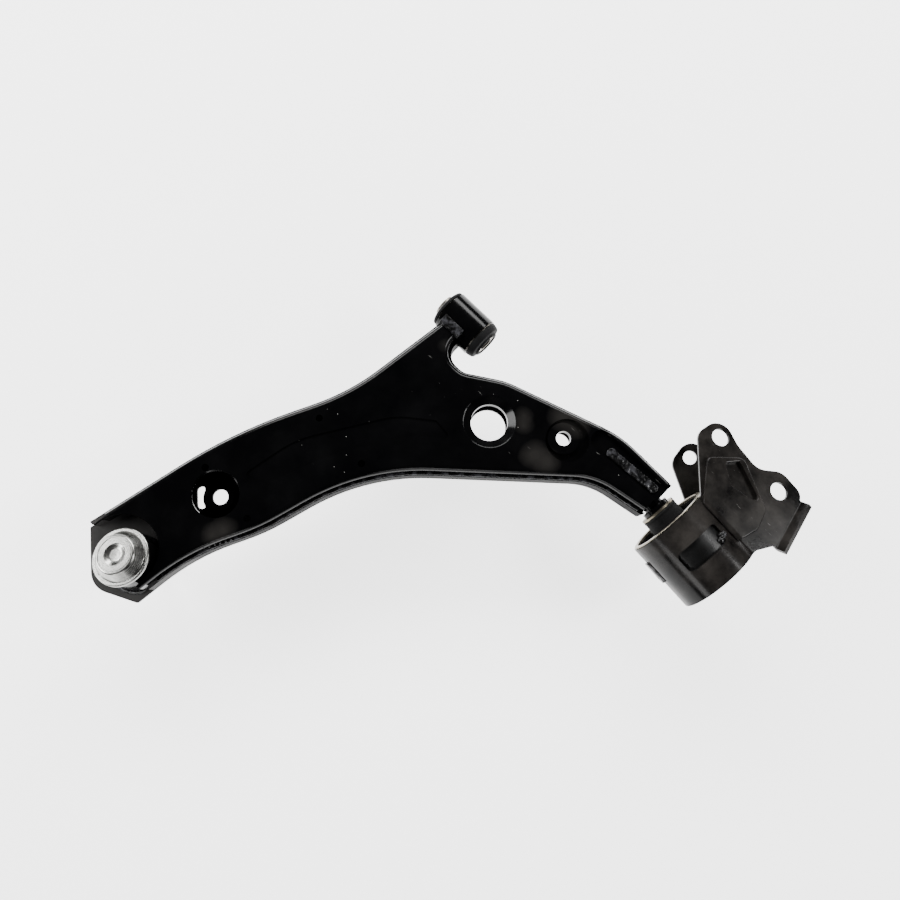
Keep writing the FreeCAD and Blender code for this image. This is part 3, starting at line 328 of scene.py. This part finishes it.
PAINTED_STEEL = ("upper_arm_shell", "front_bush_tube", "ball_joint_collar", "rear_pin")
NODE_MATERIALS = {
    **{node: PAINT for node in PAINTED_STEEL},
    "lower_arm_shell": TRAY_PAINT,
    "rear_bracket_upper": COAT,
    "rear_bracket_lower": COAT,
    "ball_joint_cap": ZINC,
    "ball_joint_housing": JOINT_STEEL,
    "ball_joint_preload_ring": JOINT_STEEL,
    "ball_joint_retaining_ring": JOINT_STEEL,
    "ball_joint_liner": PLASTIC,
    "front_bush_outer_sleeve": FRONT_STEEL,
    "front_bush_inner_sleeve": FRONT_STEEL,
    "rear_bush_outer_sleeve": SLEEVE,
    "rear_bush_inner_sleeve": REAR_STEEL,
    "rear_bush_front_washer": REAR_STEEL,
    "rear_pin_nut": REAR_STEEL,
    "rear_pin_nut_washer": REAR_STEEL,
}


def dress_nodes():
    for node, material in NODE_MATERIALS.items():
        nodes[node].data.materials.clear()
        nodes[node].data.materials.append(material)


# ---------------------------------------------------------------- mesh helpers

def body_of_node(node):
    for body, members in frame["record"]["behaviour"]["bodies"].items():
        if node in members:
            return body
    raise ValueError(node)


def new_piece(name, mesh, material, node=None, body=None):
    """A piece in the scene that stands for node, or rides beside the CAD on a body."""
    mesh.normal_update()
    data = bpy.data.meshes.new(name)
    mesh.to_mesh(data)
    mesh.free()
    data.materials.append(material)
    piece = bpy.data.objects.new(name, data)
    bpy.context.scene.collection.objects.link(piece)
    if node:
        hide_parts(node)
        body = body or body_of_node(node)
    if body:
        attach(piece, body)
    return piece


def smooth_faces(mesh):
    for face in mesh.faces:
        face.smooth = True


def skin(mesh, rings, closed=False):
    """Faces between rings of points; with closed, the last ring meets the first."""
    made = [[mesh.verts.new(point) for point in ring] for ring in rings]
    pairs = list(zip(made, made[1:]))
    if closed:
        pairs.append((made[-1], made[0]))
    for first, second in pairs:
        for i in range(len(first)):
            j = (i + 1) % len(first)
            mesh.faces.new((first[i], first[j], second[j], second[i]))
    return made


def rounded(profile, steps=4):
    """Profile points (radius, distance, corner radius) with their corners turned into arcs."""
    outline = []
    for i, (radius, distance, corner) in enumerate(profile):
        here = Vector((radius, distance))
        if not corner:
            outline.append(here)
            continue
        before = Vector(profile[i - 1][:2]) - here
        after = Vector(profile[(i + 1) % len(profile)][:2]) - here
        reach = min(corner, before.length * 0.45, after.length * 0.45)
        start = here + before.normalized() * reach
        end = here + after.normalized() * reach
        for step in range(steps + 1):
            t = step / steps
            outline.append(start * (1 - t) ** 2 + here * 2 * t * (1 - t) + end * t ** 2)
    return outline


def lathe(name, axis, profile, material, node, sides=96):
    """Ring turned round an axis from a closed profile of (radius, distance, corner radius)."""
    outline = rounded(profile)
    mesh = bmesh.new()
    rings = []
    for side in range(sides):
        angle = math.tau * side / sides
        rings.append([axis.at(point.y * MM, point.x * MM, angle) for point in outline])
    skin(mesh, rings, closed=True)
    smooth_faces(mesh)
    bmesh.ops.recalc_face_normals(mesh, faces=mesh.faces)
    return new_piece(name, mesh, material, node)


# ---------------------------------------------------------------- weld beads

def weld_copy(node, voxel, lumps):
    """Lumpy bead grown from the CAD weld: evened out, then pushed in and out by noise."""
    mesh = bmesh.new()
    mesh.from_mesh(nodes[node].data)
    bmesh.ops.remove_doubles(mesh, verts=mesh.verts, dist=0.01 * MM)
    smooth_faces(mesh)
    piece = new_piece(node + "_bead", mesh, WELD, node)
    remesh = piece.modifiers.new("even_mesh", "REMESH")
    remesh.mode = "VOXEL"
    remesh.voxel_size = voxel * MM
    remesh.use_smooth_shade = True
    clouds = bpy.data.textures.new(node + "_lumps", "CLOUDS")
    clouds.noise_scale = 3.2 * MM
    clouds.noise_depth = 1
    push = piece.modifiers.new("lumps", "DISPLACE")
    push.texture = clouds
    push.texture_coords = "OBJECT"
    push.strength = lumps * MM
    push.mid_level = 0.62
    relax = piece.modifiers.new("flow", "SMOOTH")
    relax.factor = 0.5
    relax.iterations = 2


def weld_dot(mesh, place, radius, height, rng):
    """Flattened drop of weld metal with an uneven rim."""
    levels, turns, flat_top = 5, 20, 0.12
    offset = rng.uniform(0, math.tau)
    rings = []
    for level in range(levels + 1):
        climb = level / levels * math.pi / 2
        spread = max(math.cos(climb), flat_top)
        ring = []
        for turn in range(turns):
            angle = math.tau * turn / turns
            uneven = 1 + 0.10 * math.sin(3 * angle + offset) + 0.06 * math.sin(5 * angle - offset)
            reach = radius * spread * uneven
            ring.append(place + Vector((math.cos(angle) * reach, math.sin(angle) * reach,
                                        height * math.sin(climb))))
        rings.append(ring)
    made = skin(mesh, rings)
    mesh.faces.new(made[-1])
    mesh.faces.new(list(reversed(made[0])))


def weld_dots(name, places, radius, height, body, seed):
    """Drops of weld metal that stand on the places."""
    rng = random.Random(seed)
    mesh = bmesh.new()
    for place in places:
        weld_dot(mesh, Vector(place) * MM, radius * MM * rng.uniform(0.8, 1.2), height * MM, rng)
    smooth_faces(mesh)
    bmesh.ops.recalc_face_normals(mesh, faces=mesh.faces)
    piece = new_piece(name, mesh, WELD, body=body)


def build_welds():
    """Lumpy beads for the CAD welds, spatter beside the trailing seam and the window's spot weld."""
    for node in ("trailing_seam_weld", "leading_seam_weld", "rear_leg_seam_weld"):
        weld_copy(node, voxel=0.6, lumps=0.6)
    weld_copy("rear_pin_plug_weld", voxel=0.5, lumps=1.1)
    weld_copy("front_bush_weld_upper", voxel=0.45, lumps=0.6)
    weld_copy("front_bush_weld_lower", voxel=0.45, lumps=0.6)
    weld_copy("ball_joint_collar_weld", voxel=0.5, lumps=0.9)
    weld_copy("bracket_seam_weld", voxel=0.4, lumps=0.9)
    spatter = [(11 - 2.3 * i, 298 - 4.0 * i, 13.8) for i in range(6)]
    weld_dots("seam_spatter", spatter, 0.8, 0.6, "arm", 3)
    window_blob = [(-290.5, -8.5, 33.2), (-289.5, -11.5, 32.6), (-291.5, -6.0, 33.8),
                   (-288.0, -9.5, 33.2)]
    weld_dots("window_spot_weld", window_blob, 2.6, 2.0, "bracket", 5)


# ---------------------------------------------------------------- rubber of the bushes

def build_front_rubber():
    """Bush rubber with a stepped nose at the rear end and a rounded lip at the front end."""
    low, high = (corner.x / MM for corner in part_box("front_bush_rubber"))
    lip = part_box("front_bush_rubber")[1].y / MM
    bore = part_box("front_bush_inner_sleeve")[1].y / MM + 0.05
    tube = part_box("front_bush_outer_sleeve")
    start, end = tube[0].x / MM, tube[1].x / MM
    inside = tube[1].y / MM - 1.22
    lathe("front_bush_rubber_moulding", FRONT, [
        (bore, low + 0.9, 0), (bore + 0.8, low, 0.6), (bore + 2.6, low, 0.8),
        (bore + 3.4, low + 1.6, 0.6), (lip - 1.5, low + 2.4, 0.8), (lip - 0.9, low + 4.0, 0.5),
        (lip - 0.2, low + 6.4, 0.8), (lip, start - 0.1, 0.4), (inside, start - 0.1, 0),
        (inside, end + 0.1, 0), (lip - 0.2, end + 0.1, 0.4), (lip - 0.3, end + 2.4, 0.9),
        (lip - 3.2, high - 0.7, 0.5), (bore + 1.4, high, 0.5), (bore, high - 0.6, 0)],
        SOFT_RUBBER, "front_bush_rubber")


def rear_span(node):
    """Lowest and highest distance of a node along the rear axis, and its largest radius."""
    along, out = [], []
    for vertex in nodes[node].data.vertices:
        offset = vertex.co - REAR.origin
        distance = offset.dot(REAR.along)
        along.append(distance / MM)
        out.append((offset - REAR.along * distance).length / MM)
    return min(along), max(along), max(out)


def build_rear_rubber():
    """Drum rubber with deep rolled recesses, and the soft collar behind the front washer."""
    start, end, wall = rear_span("rear_bush_main_rubber")
    sleeve = rear_span("rear_bush_inner_sleeve")[2] + 0.06
    lathe("rear_bush_main_moulding", REAR, [
        (sleeve, end - 0.9, 0), (sleeve + 1.2, end - 0.3, 0.8), (sleeve + 4.6, end - 0.8, 1.4),
        (sleeve + 7.6, end - 7.6, 3.0), (wall - 9.0, end - 9.0, 3.0), (wall - 4.5, end - 4.0, 1.6),
        (wall - 2.6, end - 0.2, 1.2), (wall - 0.02, end - 0.4, 0), (wall - 0.02, start + 0.4, 0),
        (wall - 2.8, start + 0.2, 1.2), (wall - 7.4, start + 8.2, 3.5),
        (sleeve + 7.0, start + 9.4, 3.5), (sleeve + 3.4, start + 11.2, 1.0),
        (sleeve, start + 11.4, 0)],
        SOFT_RUBBER, "rear_bush_main_rubber", sides=128)
    start, end, widest = rear_span("rear_bush_inner_rubber")
    lathe("rear_bush_collar_moulding", REAR, [
        (sleeve - 0.03, start + 0.2, 0), (widest - 0.5, start + 0.2, 0.8),
        (widest - 0.2, start + 2.2, 0.8), (widest - 0.8, start + 5.0, 1.6),
        (widest - 1.4, end - 3.2, 1.2), (widest - 0.9, end - 1.4, 0.7),
        (widest - 1.5, end - 0.1, 0.5), (sleeve - 0.03, end - 0.1, 0)],
        RUBBER, "rear_bush_inner_rubber")


# ---------------------------------------------------------------- ball joint

# Distances run along the housing's or the stud's axis from the ball's middle.
BOOT_TOP = HOUSING.at(20.6 * MM)
BOOT_FOOT = STUD.at(40.6 * MM)
BOOT_WALL = 1.25
BOOT_WIDE = 20.15
BOOT_NARROW = 11.05
BOOT_FOLD = 1.5
BOOT_HALFWAY = 0.3


def boot_radius(t):
    """Outer radius at t: straight under the housing's clip, a fold, then in to the stud."""
    fold_start, neck_start, neck_length = 0.2, 0.5, 0.34
    if t < fold_start:
        return BOOT_WIDE
    if t < neck_start:
        return BOOT_WIDE + BOOT_FOLD * math.sin((t - fold_start) / (neck_start - fold_start) * math.pi)
    fall = min((t - neck_start) / neck_length, 1.0)
    return BOOT_WIDE - (BOOT_WIDE - BOOT_NARROW) * fall ** 1.6


def boot_ring_points(t, inward, sides):
    """Ring of the boot at t, 0 at the housing clip and 1 at the stud clip."""
    turned = t * t * (3 - 2 * t)
    along = HOUSING.along.lerp(STUD.along, turned).normalized()
    line = Axis(BOOT_TOP.lerp(BOOT_FOOT, t), along)
    reach = (boot_radius(t) - inward) * MM
    return [line.at(0.0, reach, math.tau * side / sides) for side in range(sides)]


def boot_part(name, first, last):
    """Length of the boot from t = first to t = last, with its inner wall."""
    steps, sides = 22, 72
    places = [first + (last - first) * i / steps for i in range(steps + 1)]
    outside = [boot_ring_points(t, 0.0, sides) for t in places]
    inside = [boot_ring_points(t, BOOT_WALL, sides) for t in places]
    mesh = bmesh.new()
    skin(mesh, outside + inside[::-1], closed=True)
    smooth_faces(mesh)
    bmesh.ops.recalc_face_normals(mesh, faces=mesh.faces)
    piece = new_piece(name, mesh, RUBBER)
    return piece


def build_boot():
    """Two lengths of the boot that meet at a ring, in place of the CAD boot."""
    upper = boot_part("dust_boot_upper_half", 0.0, BOOT_HALFWAY)
    lower = boot_part("dust_boot_lower_half", BOOT_HALFWAY, 1.0)
    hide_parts("ball_joint_dust_boot")
    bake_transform(upper)
    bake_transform(lower)


def wire_ring(name, axis, distance, radius, wire, node):
    """Clip wound from round wire of radius wire, its two turns side by side."""
    turns, steps, corners = 2, 128, 10
    rings = []
    for step in range(steps + 1):
        angle = math.tau * turns * step / steps
        rise = (step / steps - 0.5) * wire * 2 * turns
        around = []
        for corner in range(corners):
            turn = math.tau * corner / corners
            around.append(axis.at((distance + rise + wire * math.sin(turn)) * MM,
                                  (radius + wire * math.cos(turn)) * MM, angle))
        rings.append(around)
    mesh = bmesh.new()
    close_tube(mesh, rings)
    new_piece(name, mesh, STUD_STEEL, node)


def close_tube(mesh, rings):
    """Skin over the rings, with a face on the first and the last."""
    made = skin(mesh, rings)
    mesh.faces.new(made[0][::-1])
    mesh.faces.new(made[-1])
    smooth_faces(mesh)
    bmesh.ops.recalc_face_normals(mesh, faces=mesh.faces)


BALL_RADIUS = 14.0
NECK_RADIUS = 6.5
COLLAR_RADIUS = 9.5
TAPER_RADIUS = 9.0
TAPER_NARROWING = 1.8
TAPER_START = 41.2
THREAD_PITCH = 1.5
THREAD_DEPTH = 0.85
STUD_SIDES = 72


def stud_ring(distance, radius):
    return [STUD.at(distance * MM, radius * MM, math.tau * i / STUD_SIDES) for i in range(STUD_SIDES)]


def ball_and_neck_rings():
    """Rings over the ball, down the neck and round the collar that the boot's clip holds."""
    steps = 24
    rings = []
    for step in range(steps + 1):
        turn = math.pi * (0.001 + 0.843 * step / steps)
        rings.append(stud_ring(-BALL_RADIUS * math.cos(turn), BALL_RADIUS * math.sin(turn)))
    for distance, radius in (
            (12.8, NECK_RADIUS), (31.0, NECK_RADIUS), (31.9, NECK_RADIUS + 0.3),
            (35.2, COLLAR_RADIUS - 0.3), (36.0, COLLAR_RADIUS), (40.6, COLLAR_RADIUS),
            (41.0, COLLAR_RADIUS - 0.3), (TAPER_START, TAPER_RADIUS)):
        rings.append(stud_ring(distance, radius))
    return rings


def taper_rings(taper_end):
    steps = 20
    length = taper_end - 0.6 - TAPER_START
    return [stud_ring(TAPER_START + length * step / steps,
                      TAPER_RADIUS - TAPER_NARROWING * step / steps)
            for step in range(steps + 1)]


def thread_rings(start, end, major):
    """Cut thread with a run-out at its start and a bevelled end."""
    rows = int((end - start) / THREAD_PITCH * 10)
    rings = []
    for row in range(rows + 1):
        distance = start + (end - start) * row / rows
        from_end = end - distance
        run_out = min(1.0, (distance - start) / 2.0, from_end / 1.2 + 0.15)
        bevel = max(0.0, 1.2 - from_end) * 0.8
        ring = []
        for i in range(STUD_SIDES):
            phase = (distance / THREAD_PITCH - i / STUD_SIDES) % 1.0
            groove = THREAD_DEPTH * min(1.0, max(0.0, abs(phase * 2 - 1) * 1.25 - 0.12))
            ring.append(STUD.at(distance * MM, (major - 0.02 - groove * run_out - bevel) * MM,
                                math.tau * i / STUD_SIDES))
        rings.append(ring)
    return rings


def build_stud():
    """Ball stud with a cut thread and a split pin hole."""
    thread = mounts["stud_thread"]
    tip = max((v.co - BALL).dot(STUD.along) for v in nodes["ball_stud"].data.vertices) / MM
    thread_middle = (Vector(thread["pos_m"]) - BALL).dot(STUD.along) / MM
    taper_end = 2 * thread_middle - tip
    mesh = bmesh.new()
    close_tube(mesh, ball_and_neck_rings() + taper_rings(taper_end)
               + thread_rings(taper_end, tip, thread["dims"]["r_mm"]))
    stud = new_piece("ball_stud_threaded", mesh, STUD_STEEL, "ball_stud")
    drill_split_pin_hole(stud, tip - 5.0, 1.75)


def drill_split_pin_hole(stud, distance, radius):
    sides, half_length = 24, 12
    across = Axis(STUD.at(distance * MM), Vector((0, 1, 0)))
    ends = [[across.at(d * MM, radius * MM, math.tau * i / sides) for i in range(sides)]
            for d in (-half_length, half_length)]
    mesh = bmesh.new()
    walls = skin(mesh, ends)
    mesh.faces.new(walls[0][::-1])
    mesh.faces.new(walls[1])
    bmesh.ops.recalc_face_normals(mesh, faces=mesh.faces)
    data = bpy.data.meshes.new("split_pin_drill")
    mesh.to_mesh(data)
    mesh.free()
    drill = bpy.data.objects.new("split_pin_drill", data)
    bpy.context.scene.collection.objects.link(drill)
    hole = stud.modifiers.new("split_pin_hole", "BOOLEAN")
    hole.operation = "DIFFERENCE"
    hole.solver = "EXACT"
    hole.object = drill
    settle(stud)
    bpy.data.objects.remove(drill)


def settle(piece):
    """Turns the piece's modifiers into its own mesh."""
    bpy.context.view_layer.update()
    graph = bpy.context.evaluated_depsgraph_get()
    final = bpy.data.meshes.new_from_object(piece.evaluated_get(graph), depsgraph=graph)
    piece.modifiers.clear()
    piece.data = final


def build_ball_joint():
    build_boot()
    build_stud()
    wire_ring("boot_clip_wire_wide", HOUSING, 22.5, 21.0, 0.85, "boot_clip_at_housing")
    wire_ring("boot_clip_wire_narrow", STUD, 39.0, 11.9, 0.7, "boot_clip_at_stud")


# ---------------------------------------------------------------- stage

def build_floor():
    """Pale sheet half a millimetre under the part, far wider than the view."""
    low, high = cad_box
    middle = (low + high) / 2
    ground = low.z - 0.5 * MM
    half_width, steps = 6.0, 8
    marks = [half_width * (2 * i / steps - 1) for i in range(steps + 1)]
    mesh = bmesh.new()
    grid = [[mesh.verts.new((middle.x + x, middle.y + y, ground)) for y in marks] for x in marks]
    for i in range(steps):
        for j in range(steps):
            mesh.faces.new((grid[i][j], grid[i + 1][j], grid[i + 1][j + 1], grid[i][j + 1]))
    data = bpy.data.meshes.new("floor")
    mesh.to_mesh(data)
    mesh.free()
    data.materials.append(floor_paper("floor_paper"))
    floor = bpy.data.objects.new("floor", data)
    bpy.context.scene.collection.objects.link(floor)


def soft_light(name, place, aim, width, height, power):
    """Rectangular area light that faces aim."""
    light = bpy.data.lights.new(name, "AREA")
    light.shape = "RECTANGLE"
    light.size = width
    light.size_y = height
    light.energy = power
    lamp = bpy.data.objects.new(name, light)
    lamp.location = place
    lamp.rotation_mode = "QUATERNION"
    lamp.rotation_quaternion = (Vector(aim) - Vector(place)).to_track_quat("-Z", "Y")
    bpy.context.scene.collection.objects.link(lamp)


def build_lights():
    """Softboxes low round the part, so that flat faces stay black and edges catch the light.

    Each has its turn and rise in degrees, its width and height in metres and its power.
    """
    low, high = cad_box
    aim = (low + high) / 2
    distance = 1.9
    for name, turn, rise, width, height, power in (
            ("far_softbox", -45, 34, 2.0, 0.6, 60),
            ("left_softbox", 35, 30, 1.3, 0.5, 36),
            ("right_softbox", -135, 42, 0.8, 0.35, 24),
            ("near_softbox", 120, 20, 1.4, 0.4, 16)):
        turn, rise = math.radians(turn), math.radians(rise)
        flat = math.cos(rise)
        away = Vector((math.cos(turn) * flat, math.sin(turn) * flat, math.sin(rise)))
        soft_light(name, aim + away * distance, aim, width, height, power)


def build_world():
    """Dim even light from all round."""
    world = bpy.data.worlds.new("studio")
    bpy.context.scene.world = world
    world.use_nodes = True
    background = world.node_tree.nodes["Background"]
    background.inputs["Color"].default_value = (1.0, 1.0, 1.0, 1.0)
    background.inputs["Strength"].default_value = 0.025


def build_camera():
    """Almost straight above the arm, turned so that the ball joint lies at the left.

    Its place and its aim are shares of the distance between the two bushes.
    """
    rear = REAR.origin
    span = -rear.x
    stand = Vector((rear.x * 0.527, span * 0.697, span * 2.4126))
    target = Vector((rear.x * 0.263, span * 0.3221, 0.0))
    up = Vector((0.69171, -0.69829, 0.1842))
    back = (stand - target).normalized()
    right = up.cross(back).normalized()
    up = back.cross(right)
    data = bpy.data.cameras.new("camera")
    data.sensor_width = 36.0
    data.lens = 32.0
    data.clip_start = 0.05
    data.clip_end = 30.0
    camera = bpy.data.objects.new("camera", data)
    camera.matrix_world = Matrix((
        (right.x, up.x, back.x, stand.x),
        (right.y, up.y, back.y, stand.y),
        (right.z, up.z, back.z, stand.z),
        (0, 0, 0, 1)))
    bpy.context.scene.collection.objects.link(camera)
    bpy.context.scene.camera = camera


dress_nodes()
build_welds()
build_front_rubber()
build_rear_rubber()
build_ball_joint()
build_floor()
build_lights()
build_world()
build_camera()
